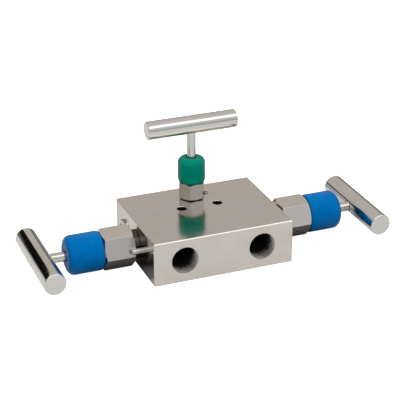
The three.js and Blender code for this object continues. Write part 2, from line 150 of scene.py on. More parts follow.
for name, dark, glow_strength, seen in (
        ("floor", "D2D2D1", 1.0, True), ("floor_in_steel", "666666", 0.0, False)):
    floor_mesh = bpy.data.meshes.new(name)
    floor_mesh.from_pydata([(-6, -6, 0), (6, -6, 0), (6, 6, 0), (-6, 6, 0)], [], [(0, 1, 2, 3)])
    floor_mesh.materials.append(laminate("white_laminate_" + name, dark, glow_strength))
    floor = bpy.data.objects.new(name, floor_mesh)
    floor.location.z = -0.0002 if seen else -0.0004
    floor.visible_camera = seen
    floor.visible_glossy = floor.visible_diffuse = floor.visible_shadow = not seen
    floor.visible_transmission = not seen
    scene.collection.objects.link(floor)

# The walls' tones are linear and not hex, because the ceiling is brighter than white.
world = bpy.data.worlds.new("studio")
scene.world = world
world.use_nodes = True
tree = world.node_tree
tree.nodes.clear()
way = add_node(tree, "ShaderNodeTexCoord", {}, {})
parts = add_node(tree, "ShaderNodeSeparateXYZ", {}, {"Vector": way.outputs["Generated"]})
back_wall = add_node(tree, "ShaderNodeValToRGB", {"stops": [
    (0.0, (0.40, 0.39, 0.38, 1)), (0.07, (0.27, 0.26, 0.25, 1)), (0.12, (0.03, 0.03, 0.03, 1)),
    (0.18, (0.03, 0.03, 0.03, 1)), (0.24, (0.45, 0.42, 0.38, 1)), (0.70, (0.49, 0.46, 0.43, 1)),
    (0.90, (0.56, 0.54, 0.51, 1))]},
    {"Fac": parts.outputs["Z"]})
front_wall = add_node(tree, "ShaderNodeValToRGB", {"stops": [
    (0.0, (0.48, 0.48, 0.50, 1)), (0.12, (0.34, 0.33, 0.36, 1)), (0.24, (0.44, 0.44, 0.46, 1)),
    (0.34, (0.56, 0.56, 0.57, 1)), (0.60, (0.56, 0.56, 0.57, 1)), (0.66, (1.35, 1.35, 1.35, 1)),
    (0.89, (1.35, 1.35, 1.35, 1)), (0.94, (0.56, 0.55, 0.53, 1))]},
    {"Fac": parts.outputs["Z"]})
turned_back = add_node(tree, "ShaderNodeMapRange", {},
                       {"Value": parts.outputs["Y"], "From Min": -0.38, "From Max": -0.18})
walls = add_node(tree, "ShaderNodeMix", {"data_type": "RGBA"},
                 {"Factor": turned_back.outputs[0], 6: front_wall.outputs["Color"],
                  7: back_wall.outputs["Color"]})
sky = add_node(tree, "ShaderNodeBackground", {}, {"Color": walls.outputs[2], "Strength": 1.35})
add_node(tree, "ShaderNodeOutputWorld", {}, {"Surface": sky.outputs[0]})

soft_box_data = bpy.data.lights.new("soft_box", "AREA")
soft_box_data.shape = "DISK"
soft_box_data.size = 1.2
soft_box_data.energy = 18
soft_box = bpy.data.objects.new("soft_box", soft_box_data)
soft_box.location = (-0.3, -0.5, 1.5)
soft_box.rotation_euler = soft_box.location.to_track_quat("Z", "Y").to_euler()
soft_box.visible_glossy = False
scene.collection.objects.link(soft_box)

# A flag of black velvet behind the left handle. Velvet gives back next to no light, so the steel shows
# a black streak, and nothing else shows the flag.
velvet, tree = bare_finish("black_velvet_flag")
nap = add_node(tree, "ShaderNodeTexNoise", {}, {"Scale": 900.0})
pile = add_node(tree, "ShaderNodeValToRGB", {"stops": [(0.0, linear("0A0A0A")), (1.0, linear("141414"))]},
                {"Fac": nap.outputs["Fac"]})
cloth = add_node(tree, "ShaderNodeBsdfDiffuse", {}, {"Color": pile.outputs["Color"]})
add_node(tree, "ShaderNodeOutputMaterial", {}, {"Surface": cloth.outputs[0]})
flag_mesh = bpy.data.meshes.new("flag")
flag_mesh.from_pydata([(-0.25, 0.10, 0.04), (-0.12, 0.10, 0.04), (-0.12, 0.10, 0.10), (-0.25, 0.10, 0.10)],
                      [], [(0, 1, 2, 3)])
flag_mesh.materials.append(velvet)
flag = bpy.data.objects.new("flag", flag_mesh)
flag.visible_camera = flag.visible_diffuse = flag.visible_shadow = flag.visible_transmission = False
scene.collection.objects.link(flag)

# ---- Manifold block ----
# A length of 316 stainless steel bar, milled square. It has four taper-threaded ports, three valve
# pockets, two tapped holes for a bracket, and drillings that join them. Its edges are broken.
MM = 0.001
SIDES = 96


def as_object(shape):
    """A bmesh in mm as an object."""
    bmesh.ops.recalc_face_normals(shape, faces=shape.faces)
    mesh = bpy.data.meshes.new("blank")
    shape.to_mesh(mesh)
    shape.free()
    blank = bpy.data.objects.new("blank", mesh)
    scene.collection.objects.link(blank)
    return blank


def turned(points, sides=SIDES):
    """A piece turned about Z from (radius, height) points. An outline off the axis closes on itself."""
    shape = bmesh.new()
    rings = []
    for radius, height in points:
        if radius == 0:
            rings.append([shape.verts.new((0, 0, height))] * sides)
            continue
        angles = [math.tau * i / sides for i in range(sides)]
        rings.append([shape.verts.new((radius * math.cos(a), radius * math.sin(a), height))
                      for a in angles])
    pairs = list(zip(rings, rings[1:]))
    if points[0][0] > 0:
        pairs.append((rings[-1], rings[0]))
    for lower, upper in pairs:
        for i in range(sides):
            j = (i + 1) % sides
            corners = list(dict.fromkeys([lower[i], lower[j], upper[j], upper[i]]))
            if len(corners) > 2:
                shape.faces.new(corners)
    return as_object(shape)


def threaded(root, crest, start, end, pitch, fall=0.0, sides=SIDES):
    """A right-hand screw thread about Z with closed ends. Its radius may fall with height."""
    profile = ((0.0, 0), (0.12, 0), (0.42, 1), (0.7, 1))
    per_turn = len(profile)
    shape = bmesh.new()
    rows = []
    for turn in range(-1, math.ceil((end - start) / pitch) + 2):
        for share, out in profile:
            row = []
            for i in range(sides):
                height = start + (turn + share + i / sides) * pitch
                height = min(max(height, start), end)
                fade = min(1, (height - start) / (0.5 * pitch), (end - height) / (0.5 * pitch))
                radius = root + (crest - root) * out * fade - fall * (height - start)
                angle = math.tau * i / sides
                row.append(shape.verts.new((radius * math.cos(angle), radius * math.sin(angle), height)))
            rows.append(row)
    for k in range(len(rows) - per_turn - 1):
        for i in range(sides):
            if i < sides - 1:
                corners = [rows[k][i], rows[k][i + 1], rows[k + 1][i + 1], rows[k + 1][i]]
            else:
                corners = [rows[k][i], rows[k + per_turn][0], rows[k + per_turn + 1][0], rows[k + 1][i]]
            shape.faces.new(corners)
    bmesh.ops.remove_doubles(shape, verts=shape.verts, dist=1e-4)
    bmesh.ops.dissolve_degenerate(shape, edges=shape.edges, dist=1e-5)
    loose = [v for v in shape.verts if not v.link_faces]
    bmesh.ops.delete(shape, geom=loose, context="VERTS")
    open_edges = [e for e in shape.edges if len(e.link_faces) == 1]
    bmesh.ops.holes_fill(shape, edges=open_edges, sides=0)
    return as_object(shape)


def machined(blank, tools, how="DIFFERENCE"):
    """The blank with each tool's shape cut out of it, joined to it, or kept in common."""
    for tool in tools:
        step = blank.modifiers.new("machining", "BOOLEAN")
        step.object = tool
        step.operation = how
        step.solver = "MANIFOLD"
    bpy.context.view_layer.update()
    done = blank.evaluated_get(bpy.context.evaluated_depsgraph_get())
    mesh = bpy.data.meshes.new_from_object(done)
    blank.modifiers.clear()
    blank.data = mesh
    for tool in tools:
        bpy.data.objects.remove(tool)
    return blank


def moved(blank, matrix):
    """The blank with its own mesh moved, in mm."""
    blank.data.transform(matrix)
    return blank


def fitted(blank, name, place, body, node, material):
    """The finished piece at its place in the frame, riding on its body and standing for its node."""
    mesh = blank.data
    mesh.transform(Matrix.Scale(MM, 4))
    mesh.name = blank.name = name
    mesh.materials.clear()
    mesh.materials.append(material)
    mesh.shade_smooth()
    mesh.set_sharp_from_angle(angle=math.radians(28))
    smoothing = blank.modifiers.new("flat faces shade flat", "WEIGHTED_NORMAL")
    smoothing.keep_sharp = True
    smoothing.weight = 100
    blank.matrix_world = place
    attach(blank, body)
    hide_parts(node)
    return blank


def stainless(name, colour, smooth, rough, lay, spacing, depth):
    """Bare metal with tool marks. Turned marks ring the Z axis, drawn and milled ones run along Z or X,
    and their spacing and depth are in mm."""
    steel, tree = bare_finish(name)
    place = add_node(tree, "ShaderNodeTexCoord", {}, {})
    per_metre = 1 / (spacing * MM)
    if lay == "turned":
        split = add_node(tree, "ShaderNodeSeparateXYZ", {}, {"Vector": place.outputs["Object"]})
        flat = add_node(tree, "ShaderNodeCombineXYZ", {},
                        {"X": split.outputs["X"], "Y": split.outputs["Y"]})
        radius = add_node(tree, "ShaderNodeVectorMath", {"operation": "LENGTH"}, {0: flat.outputs[0]})
        along = add_node(tree, "ShaderNodeMath", {"operation": "ADD"},
                         {0: radius.outputs["Value"], 1: split.outputs["Z"]})
        marks = add_node(tree, "ShaderNodeTexNoise", {"noise_dimensions": "1D"},
                         {"W": along.outputs[0], "Scale": per_metre, "Detail": 2.0})
    else:
        stretch = (1, 1, 0.03) if lay == "drawn" else (0.03, 1, 1)
        lines = add_node(tree, "ShaderNodeMapping", {},
                         {"Vector": place.outputs["Object"], "Scale": stretch})
        marks = add_node(tree, "ShaderNodeTexNoise", {},
                         {"Vector": lines.outputs[0], "Scale": per_metre, "Detail": 2.0})
    clouds = add_node(tree, "ShaderNodeTexNoise", {},
                      {"Vector": place.outputs["Object"], "Scale": 1 / (14 * MM), "Detail": 4.0})
    handling = add_node(tree, "ShaderNodeTexNoise", {"noise_type": "RIDGED_MULTIFRACTAL"},
                        {"Vector": place.outputs["Object"], "Scale": 1 / (9 * MM), "Detail": 3.0})
    mixed = add_node(tree, "ShaderNodeMix", {},
                     {"Factor": 0.45, 2: clouds.outputs["Fac"], 3: marks.outputs["Fac"]})
    gloss = add_node(tree, "ShaderNodeMapRange", {},
                     {"Value": mixed.outputs[0], "From Min": 0.3, "From Max": 0.7,
                      "To Min": smooth, "To Max": rough})
    dull = [c * 0.93 for c in linear(colour)[:3]] + [1]
    shade = add_node(tree, "ShaderNodeValToRGB", {"stops": [(0.35, dull), (0.65, linear(colour))]},
                     {"Fac": mixed.outputs[0]})
    ridges = add_node(tree, "ShaderNodeBump", {},
                      {"Height": marks.outputs["Fac"], "Distance": depth * MM, "Strength": 1.0})
    scuffs = add_node(tree, "ShaderNodeBump", {},
                      {"Height": handling.outputs["Fac"], "Distance": 0.004 * MM, "Strength": 0.3,
                       "Normal": ridges.outputs[0]})
    metal = add_node(tree, "ShaderNodeBsdfPrincipled", {},
                     {"Base Color": shade.outputs["Color"], "Metallic": 1.0,
                      "Roughness": gloss.outputs[0], "Normal": scuffs.outputs[0]})
    add_node(tree, "ShaderNodeOutputMaterial", {}, {"Surface": metal.outputs[0]})
    return steel


block_low, block_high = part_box("manifold_block")
width, depth, height = [(block_high[i] - block_low[i]) / MM for i in range(3)]
bar = bmesh.new()
bmesh.ops.create_cube(bar, size=1, matrix=Matrix.Translation((0, 0, height / 2)) @ Matrix.Diagonal(
    (width, depth, height, 1)))
bmesh.ops.bevel(bar, geom=bar.edges, offset=0.5, segments=1, affect="EDGES")
block = as_object(bar)

# The left and right valves stand on the block's ends and the top one on its top. Each is modelled
# with +Z out of the block and height 0 at the block's face.
side_axis = (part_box("left_spindle")[0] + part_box("left_spindle")[1]) / 2
top_axis = (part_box("top_spindle")[0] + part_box("top_spindle")[1]) / 2
left_place = Matrix.Translation((block_low.x, side_axis.y, side_axis.z)) @ Matrix(
    ((0, 0, -1, 0), (-1, 0, 0, 0), (0, 1, 0, 0), (0, 0, 0, 1)))
right_place = Matrix.Translation((block_high.x, side_axis.y, side_axis.z)) @ Matrix(
    ((0, 0, 1, 0), (1, 0, 0, 0), (0, 1, 0, 0), (0, 0, 0, 1)))
top_place = Matrix.Translation((top_axis.x, top_axis.y, block_high.z))
places = {"left": left_place, "right": right_place, "top": top_place}


def in_mm(place):
    """A place in the frame, in metres, as a move in mm."""
    return Matrix.Translation(place.translation / MM) @ place.to_3x3().to_4x4()


def pin_spot(name):
    """The lock pin's middle in its valve's own frame, in mm."""
    low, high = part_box(name + "_lock_pin")
    middle = places[name].inverted() @ ((low + high) / 2)
    return Vector((middle.x / MM, middle.y / MM, 0))


def each_valve(side, top):
    """Every valve's name with its sizes. The left and right valves are alike, and the top one differs."""
    return (("left", *side), ("right", *side), ("top", *top))


pocket_side = [(0, -30.2), (2.2, -30.2), (2.2, -23.5), (5, -23.5), (5, -14.1), (8.0, -14.1), (8.0, -12.4),
               (8.0, -0.9), (9.0, 0.0), (9.0, 1), (0, 1)]
pocket_top = [(0, -25.9), (2.2, -25.9), (2.2, -19.2), (3.9, -19.2), (3.9, -10), (5.6, -10), (5.6, -8.5),
              (5.6, -0.8), (6.5, 0.0), (6.5, 1), (0, 1)]
cuts = []
for name, outline, root, crest, end, pin_radius, pin_depth in each_valve(
        (pocket_side, 8.0, 9.0, -12.5, 2.15, 8), (pocket_top, 5.6, 6.5, -8.6, 1.9, 6)):
    to_frame = in_mm(places[name])
    cuts.append(moved(turned(outline, 64), to_frame))
    cuts.append(moved(threaded(root, crest, end, 0.5, 1.5, sides=64), to_frame))
    hole = turned([(0, -pin_depth), (pin_radius, -pin_depth), (pin_radius, 1), (0, 1)], 40)
    cuts.append(moved(hole, to_frame @ Matrix.Translation(pin_spot(name))))

# Ports: 1/2 in taper threads, 14 to the inch, with a countersunk mouth and a drill point.
port_across = 27
for x in (-port_across, port_across):
    for side in (-1, 1):
        inwards = Matrix.Translation((x, side * depth / 2, height / 2)) @ Matrix.Rotation(
            math.radians(90 * side), 4, "X")
        drill = turned([(0, 21.9), (6.0, 20.2), (8.2, 20.0), (8.9, 0.6), (10.1, 0), (10.1, -1), (0, -1)])
        tap = threaded(8.95, 10.05, 0.1, 19.4, 1.814, fall=1 / 32)
        cuts.append(moved(drill, inwards))
        cuts.append(moved(tap, inwards))

# Bracket holes: M8 threads, 1.25 mm apart, with a drill point and a small countersink.
bracket_across = 12.8
bracket_back = 6.1
for x in (-bracket_across, bracket_across):
    down = Matrix.Translation((x, bracket_back, height)) @ Matrix.Rotation(math.pi, 4, "X")
    drill = turned([(0, 13), (3.3, 11.2), (3.35, 0.2), (3.5, 0), (3.5, -1), (0, -1)], 64)
    cuts.append(moved(drill, down))
    cuts.append(moved(threaded(3.3, 3.95, 0.3, 10.5, 1.25, sides=64), down))


def drilling(start, end, radius):
    """A straight drilled hole between two points, in mm."""
    line = Vector(end) - Vector(start)
    hole = turned([(0, -0.5), (radius, -0.5), (radius, line.length), (0, line.length + 0.6 * radius)], 32)
    return moved(hole, Matrix.Translation(start) @ line.to_track_quat("Z", "Y").to_matrix().to_4x4())


# Drillings join each front port to the chamber round its tip, and the way under its seat to the
# back port. Two cross drillings lead from the block's ends to the equalising valve. The ports' floors
# lie in from the front and back faces, and the chambers and the ways under the seats in from the ends.
way_radius = 2.2
port_floor = 20
chamber_in = 16.65
under_seat = 28
side_valve_line = -3
for side in (-1, 1):
    inlet = (side * port_across, -depth / 2 + port_floor, height / 2)
    chamber = (side * (width / 2 - chamber_in), side_valve_line, height / 2)
    cuts.append(drilling(inlet, chamber, way_radius))
    outlet = (side * port_across, depth / 2 - port_floor, height / 2)
    seat_way = (side * (width / 2 - under_seat), side_valve_line, height / 2)
    cuts.append(drilling(outlet, seat_way, way_radius))
plug_heights = {"left": height - 14, "right": height - 22.2}
for name, side in (("left", -1), ("right", 1)):
    across = Matrix.Translation((0, top_axis.y / MM, plug_heights[name])) @ Matrix.Rotation(
        math.radians(90 * side), 4, "Y")
    reach = width / 2
    bore = turned([(0, side * 0.4), (way_radius, side * 0.4), (way_radius, reach - 9.3), (4.1, reach - 9.3),
                   (4.1, reach - 0.8), (4.9, reach), (4.9, reach + 1), (0, reach + 1)], 48)
    cuts.append(moved(bore, across))
    cuts.append(moved(threaded(4.1, 4.85, reach - 9.2, reach - 0.1, 1.0, sides=48), across))
block = machined(block, cuts)

# Milled 316 stainless steel: a grey beige satin that mirrors what stands on it, with fine cutter lines
# along the bar, blurred across them. The lines are 0.4 mm apart instead of 0.1 mm so that they show.
milled_stainless = stainless("milled_316_stainless", "CFCBC5", 0.11, 0.19, "milled", 0.4, 0.004)
fitted(block, "block_milled", Matrix.Identity(4), "manifold", "manifold_block",
       milled_stainless)

# Bored and tapped steel: the same bar, with painted shade that is black deep inside and fades out
# over the outer 11 mm of each port, so that a port's wall is lighter towards its mouth.
tapped_stainless, tree = bare_finish("tapped_316_with_painted_shade")
spot = add_node(tree, "ShaderNodeTexCoord", {}, {})
split = add_node(tree, "ShaderNodeSeparateXYZ", {}, {"Vector": spot.outputs["Object"]})
off_middle = add_node(tree, "ShaderNodeMath", {"operation": "ABSOLUTE"}, {0: split.outputs["Y"]})
mottle = add_node(tree, "ShaderNodeTexNoise", {},
                 {"Vector": spot.outputs["Object"], "Scale": 1 / (3 * MM), "Detail": 3.0})
wander = add_node(tree, "ShaderNodeMapRange", {},
                  {"Value": mottle.outputs["Fac"], "From Min": 0.3, "From Max": 0.7,
                   "To Min": -1.5 * MM, "To Max": 1.5 * MM})
reach = add_node(tree, "ShaderNodeMath", {"operation": "ADD"},
                 {0: off_middle.outputs[0], 1: wander.outputs[0]})
painted_shade_fade = add_node(tree, "ShaderNodeMapRange", {},
                 {"Value": reach.outputs[0], "From Min": (depth / 2 - 11.5) * MM,
                  "From Max": (depth / 2 - 1.0) * MM})
# Painted shade: black deep in the holes, pale steel near the block's faces.
painted_hole_shade = add_node(tree, "ShaderNodeValToRGB", {"stops": [
    (0.0, linear("0E0E0F")), (0.25, linear("2E2D2C")), (0.55, linear("827F7B")), (1.0, linear("BAB7B1"))]},
    {"Fac": painted_shade_fade.outputs[0]})
wet = add_node(tree, "ShaderNodeMapRange", {},
               {"Value": mottle.outputs["Fac"], "To Min": 0.22, "To Max": 0.4})
tapped = add_node(tree, "ShaderNodeBsdfPrincipled", {},
                  {"Base Color": painted_hole_shade.outputs["Color"], "Metallic": 1.0, "Roughness": wet.outputs[0]})
add_node(tree, "ShaderNodeOutputMaterial", {}, {"Surface": tapped.outputs[0]})
# Faces deeper in than the broken edges, the holes' walls, take this steel with its painted shade.
block.data.materials.append(tapped_stainless)
milled_skin = 0.65  # mm, deeper than the broken edges
for face in block.data.polygons:
    x, y, z = face.center / MM
    inset = min(width / 2 - abs(x), depth / 2 - abs(y), z, height - z)
    face.material_index = int(inset > milled_skin)


# ---- Cross drilling plugs ----
# Stainless plugs with a round turned head and a hexagon socket, screwed in where the cross drillings
# break out of the block's ends.
def hexagon(flats, start, end, turn=0.0, edge=0.0):
    """A hexagonal bar about Z with a flat facing the turn, in degrees, and its corners rounded."""
    outline = []
    for k in range(6):
        corner = math.radians(turn + 30 + 60 * k)
        reach = (flats - 2 * edge) / math.sqrt(3)
        centre = Vector((math.cos(corner), math.sin(corner))) * reach
        for step in ([-30, -10, 10, 30] if edge else [0]):
            angle = corner + math.radians(step)
            outline.append(centre + edge * Vector((math.cos(angle), math.sin(angle))))
    shape = bmesh.new()
    lower = [shape.verts.new((p.x, p.y, start)) for p in outline]
    upper = [shape.verts.new((p.x, p.y, end)) for p in outline]
    shape.faces.new(lower[::-1])
    shape.faces.new(upper)
    for i in range(len(outline)):
        j = (i + 1) % len(outline)
        shape.faces.new([lower[i], lower[j], upper[j], upper[i]])
    return as_object(shape)


# Turned 316 stainless: a satin grey with fine rings that draw each highlight out into a fan.
turned_stainless = stainless("turned_316_stainless", "CDCAC6", 0.16, 0.26, "turned", 0.3, 0.003)
for name, side in (("left", -1), ("right", 1)):
    low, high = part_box(name + "_cross_plug")
    middle = (low + high) / 2
    face = block_low.x if side < 0 else block_high.x
    place = Matrix.Translation((face, middle.y, middle.z)) @ Matrix.Rotation(
        math.radians(90 * side), 4, "Y")
    plug = turned([(0, -9), (3.6, -9), (4.0, -8.5), (4.0, 0.3), (5.2, 0.3), (5.2, 1.75), (5.05, 2.05),
                   (4.75, 2.2), (0, 2.2)], 72)
    # One pitch above the start of the hole's thread, so the two mesh without touching.
    plug = machined(plug, [threaded(3.95, 4.6, -8.2, -0.5, 1.0, sides=72)], "UNION")
    socket = [hexagon(5, -2.4, 3), turned([(0, -3.6), (2.45, -2.3), (0, -2.3)], 48),
              turned([(0, 1.75), (2.4, 1.75), (3.2, 2.5), (3.2, 3), (0, 3)], 48)]
    plug = machined(plug, socket)
    fitted(plug, name + "_plug_socket_head", place, "manifold", name + "_cross_plug",
           turned_stainless)

# ---- Lock pins ----
# Slotted spring pins rolled from stainless strip and driven into the block beside each bonnet's
# hexagon, so that it can't unscrew. Both ends are tapered in a little.
# Rolled spring steel: smooth and bright, with faint lines along the pin.
rolled_strip = stainless("rolled_302_spring_steel", "C4C1BC", 0.14, 0.24, "drawn", 0.25, 0.003)
slot_turn = math.radians(200)
slot_width = 0.45
for name, bore, radius, start, end in each_valve((1.0, 2.0, -7.7, 8), (0.9, 1.75, -5.7, 1)):
    pin = turned([(bore, start + 0.2), (bore + 0.2, start), (radius - 0.3, start), (radius, start + 0.8),
                  (radius, end - 0.5), (radius - 0.25, end), (bore + 0.2, end), (bore, end - 0.2)], 64)
    slot = bmesh.new()
    bmesh.ops.create_cube(slot, size=1, matrix=Matrix.Rotation(slot_turn, 4, "Z") @ (
        Matrix.Translation((radius, 0, 0)) @ Matrix.Diagonal((2.2 * radius, slot_width, 60, 1))))
    pin = machined(pin, [as_object(slot)])
    spot = places[name] @ Matrix.Translation(pin_spot(name) * MM)
    fitted(pin, name + "_spring_pin", spot, "manifold", name + "_lock_pin", rolled_strip)

# ---- Bonnet seals ----
# Rings die-formed from flexible graphite tape, at the bottom of each pocket, where the end of the
# bonnet's shank squeezes them. Pressed graphite is dark grey with a soft, flaky sheen.
graphite, tree = bare_finish("pressed_flexible_graphite")
flakes = add_node(tree, "ShaderNodeTexVoronoi", {}, {"Scale": 1 / (0.6 * MM)})
flake_grey = add_node(tree, "ShaderNodeValToRGB",
                      {"stops": [(0.1, linear("3A3A3C")), (0.8, linear("57575A"))]},
                      {"Fac": flakes.outputs["Distance"]})
flake_bump = add_node(tree, "ShaderNodeBump", {}, {"Height": flakes.outputs["Distance"],
                                                   "Distance": 0.02 * MM, "Strength": 0.6})
sheen = add_node(tree, "ShaderNodeBsdfPrincipled", {},
                 {"Base Color": flake_grey.outputs["Color"], "Roughness": 0.55, "Metallic": 0.3,
                  "Normal": flake_bump.outputs[0]})
add_node(tree, "ShaderNodeOutputMaterial", {}, {"Surface": sheen.outputs[0]})
for name, inner, outer, start, end in each_valve((4.2, 7.9, -13.8, -12.8), (3.4, 5.5, -9.7, -8.9)):
    seal = turned([(inner, start + 0.1), (inner + 0.1, start), (outer - 0.1, start), (outer, start + 0.1),
                   (outer, end - 0.1), (outer - 0.1, end), (inner + 0.1, end), (inner, end - 0.1)])
    fitted(seal, name + "_graphite_ring", places[name], "manifold", name + "_bonnet_seal",
           graphite)

# ---- Seats ----
# Hard stainless rings, turned and then pressed into the bottom of each pocket. The cone that the tip
# closes on is lapped with it.
# Lapped 17-4 stainless: a close, even satin that is nearly a mirror.
lapped_steel = stainless("lapped_17_4_stainless", "C9C7C4", 0.1, 0.16, "turned", 0.12, 0.001)
seat_side = [(2.0, -23.2), (4.5, -23.2), (4.7, -23.0), (4.7, -19.4), (4.5, -19.2), (3.4, -19.2),
             (2.0, -20.95)]
seat_top = [(1.5, -18.9), (3.4, -18.9), (3.6, -18.7), (3.6, -16.7), (3.4, -16.5), (2.5, -16.5),
            (1.5, -17.75)]
for name, outline in each_valve((seat_side,), (seat_top,)):
    fitted(turned(outline), name + "_seat_ring", places[name], "manifold", name + "_seat",
           lapped_steel)

# ---- Needle tips ----
# Hardened cones turned from the same steel as the seats. Each is closed over the button on its
# spindle's end, so that it slides without turning.
tip_side = [(0, -21.2), (1.2, -21.2), (1.4, -21.0), (3.6, -18.47), (3.6, -15.6), (3.4, -15.4), (1.6, -15.4),
            (1.6, -15.9), (2.5, -15.9), (2.5, -17.9), (0, -17.9)]
tip_top = [(0, -17.9), (0.85, -17.9), (1.0, -17.7), (2.7, -15.77), (2.7, -13.2), (2.5, -13.0), (1.3, -13.0),
           (1.3, -13.3), (2.0, -13.3), (2.0, -15.0), (0, -15.0)]
for name, outline in each_valve((tip_side,), (tip_top,)):
    fitted(turned(outline), name + "_cone_tip", places[name], name + "_tip", name + "_needle_tip",
           lapped_steel)

# ---- Bonnets ----
# Each is turned from hexagonal stainless bar: a threaded shank, a neck against the block, the hexagon
# with 30 degree turned corners and a threaded boss that holds the packing and the gland bolt.
# Drawn 316 bar: a satin mirror on each flat, with long soft streaks along the hexagon.
drawn_stainless = stainless("drawn_316_hexagon_bar", "D3CFC9", 0.12, 0.22, "drawn", 0.5, 0.005)
# The neck and shank were left as turned, in a dark grey that is painted shade of the narrow gap by
# the block, with narrow bright glints.
neck_painted_shade = stainless("turned_316_painted_dark_in_gap", "55524E", 0.14, 0.24, "turned", 0.4, 0.005)


def bonnet(turn, shank, shank_end, neck, hex_start, hex_end, flats, boss, boss_end, stem, thread,
           back_stop, box, floor_at):
    """A bonnet in mm: the radii and ends of its shank, neck and boss, its hexagon, its bores for the
    stem and the working thread, which ends at the back stop, and its packing box and that box's floor."""
    corner = flats / math.sqrt(3) + 0.1
    drop = (corner - flats / 2) * math.tan(math.radians(30))
    body = turned([
        (0, shank_end), (shank - 1.5, shank_end), (shank - 0.85, shank_end + 0.65), (shank - 0.85, 0.1),
        (neck - 0.25, 0.05), (neck, 0.3), (neck, hex_start + 0.5),
        (neck + 0.3, hex_start + 1.2), (boss - 0.9, hex_end - 0.6), (boss - 0.9, boss_end - 0.65),
        (boss - 1.4, boss_end), (0, boss_end)])
    ends = turned([
        (0, hex_start), (flats / 2 - 0.3, hex_start), (flats / 2, hex_start + 0.12),
        (corner, hex_start + drop), (corner, hex_end - drop), (flats / 2, hex_end - 0.12),
        (flats / 2 - 0.3, hex_end), (0, hex_end)], 144)
    head = machined(hexagon(flats, hex_start - 1, hex_end + 1, turn + 30, 0.22), [ends], "INTERSECT")
    # The shank's thread starts level with the pocket's, so the two mesh without touching.
    shank_thread = threaded(shank - 1.0, shank, shank_end, 0.2, 1.5)
    boss_thread = threaded(boss - 0.95, boss, hex_end - 0.5, boss_end - 0.1, 1.5)
    body = machined(body, [head, shank_thread, boss_thread], "UNION")
    way_through = turned([
        (0, shank_end - 1), (thread - 0.2, shank_end - 1), (thread - 0.2, back_stop), (stem, back_stop),
        (stem, floor_at), (box, floor_at), (box, boss_end - 0.4), (box + 0.4, boss_end),
        (box + 0.4, boss_end + 1), (0, boss_end + 1)], 64)
    tapping = threaded(thread - 0.22, thread + 0.35, shank_end - 0.5, back_stop - 0.5, 1.25, sides=64)
    return machined(body, [way_through, tapping])


hex_turns = {"left": -9.5, "right": 6.5, "top": 3.0}
side_bonnet = {"shank": 8.7, "shank_end": -12.5, "neck": 9.7, "hex_start": 4.1, "hex_end": 24.9,
               "flats": 24.4, "boss": 10.6, "boss_end": 33.6, "stem": 3.65, "thread": 4.9,
               "back_stop": 12.6, "box": 6.3, "floor_at": 20}
top_bonnet = {"shank": 6.2, "shank_end": -8.6, "neck": 7.2, "hex_start": 0.5, "hex_end": 11.9,
              "flats": 16.2, "boss": 7.2, "boss_end": 17.5, "stem": 3.35, "thread": 4.2,
              "back_stop": 5.6, "box": 5.2, "floor_at": 8.5}
for name, sizes in each_valve((side_bonnet,), (top_bonnet,)):
    piece = bonnet(hex_turns[name], **sizes)
    fitted(piece, name + "_hexagon_bonnet", places[name], "manifold", name + "_bonnet",
           drawn_stainless)
    # Faces below the hexagon, the neck and shank, take the dark grey painted shade.
    piece.data.materials.append(neck_painted_shade)
    for face in piece.data.polygons:
        face.material_index = int(face.center.z < (sizes["hex_start"] - 0.05) * MM)

# ---- Packing rings ----
# White PTFE rings, pressed and sintered, two round each stem. They look waxy and slightly see-through.
ptfe, tree = bare_finish("sintered_white_ptfe")
milky = add_node(tree, "ShaderNodeTexNoise", {}, {"Scale": 1 / (2 * MM), "Detail": 3.0})
milk = add_node(tree, "ShaderNodeValToRGB",
                {"stops": [(0.3, linear("E4E2DB")), (0.7, linear("F1F0EB"))]},
                {"Fac": milky.outputs["Fac"]})
waxy_bump = add_node(tree, "ShaderNodeBump", {}, {"Height": milky.outputs["Fac"],
                                                  "Distance": 0.01 * MM, "Strength": 0.4})
wax = add_node(tree, "ShaderNodeBsdfPrincipled", {},
               {"Base Color": milk.outputs["Color"], "Roughness": 0.5, "IOR": 1.38,
                "Subsurface Weight": 0.15, "Normal": waxy_bump.outputs[0]})
add_node(tree, "ShaderNodeOutputMaterial", {}, {"Surface": wax.outputs[0]})
for name, inner, outer, thick, first, second in each_valve(
        (3.65, 6.0, 3, 20.3, 23.6), (3.35, 4.9, 2, 8.8, 11.1)):
    for node, start in ((name + "_packing_inner", first), (name + "_packing_outer", second)):
        end = start + thick
        middle = (inner + outer) / 2
        ring = turned([(inner, start + 0.15), (inner + 0.15, start), (middle, start + 0.25),
                       (outer - 0.15, start), (outer, start + 0.15), (outer, end - 0.15),
                       (outer - 0.15, end), (middle, end), (inner + 0.15, end), (inner, end - 0.15)])
        fitted(ring, node + "_ring", places[name], "manifold", node, ptfe)

# ---- Gland followers ----
# Turned brass rings that lie loose on the packing, take the gland bolt's push and spread it.
# Free-cutting brass: warm yellow, with open rings from a quick cut.
brass = stainless("turned_free_cutting_brass", "D9BE7A", 0.2, 0.32, "turned", 0.3, 0.004)
for name, inner, outer, start, end in each_valve((3.65, 6.0, 26.9, 29.4), (3.35, 4.9, 13.4, 15.0)):
    follower = turned([(inner, start + 0.2), (inner + 0.2, start), (outer - 0.25, start),
                       (outer, start + 0.25), (outer, end - 0.25), (outer - 0.25, end),
                       (inner + 0.2, end), (inner, end - 0.2)])
    fitted(follower, name + "_follower_ring", places[name], "manifold", name + "_gland_follower",
           brass)


# ---- Gland bolts and lock nuts ----
# Both are machined from hexagonal stainless bar. The gland bolt screws into the boss on to the
# follower, and its lock nut jams against the boss.
def hexagon_ends(flats):
    """The radius over a hexagon's corners, and how far its 30 degree end turning runs down them."""
    corner = flats / math.sqrt(3) + 0.1
    return corner, (corner - flats / 2 + 0.2) * math.tan(math.radians(30))


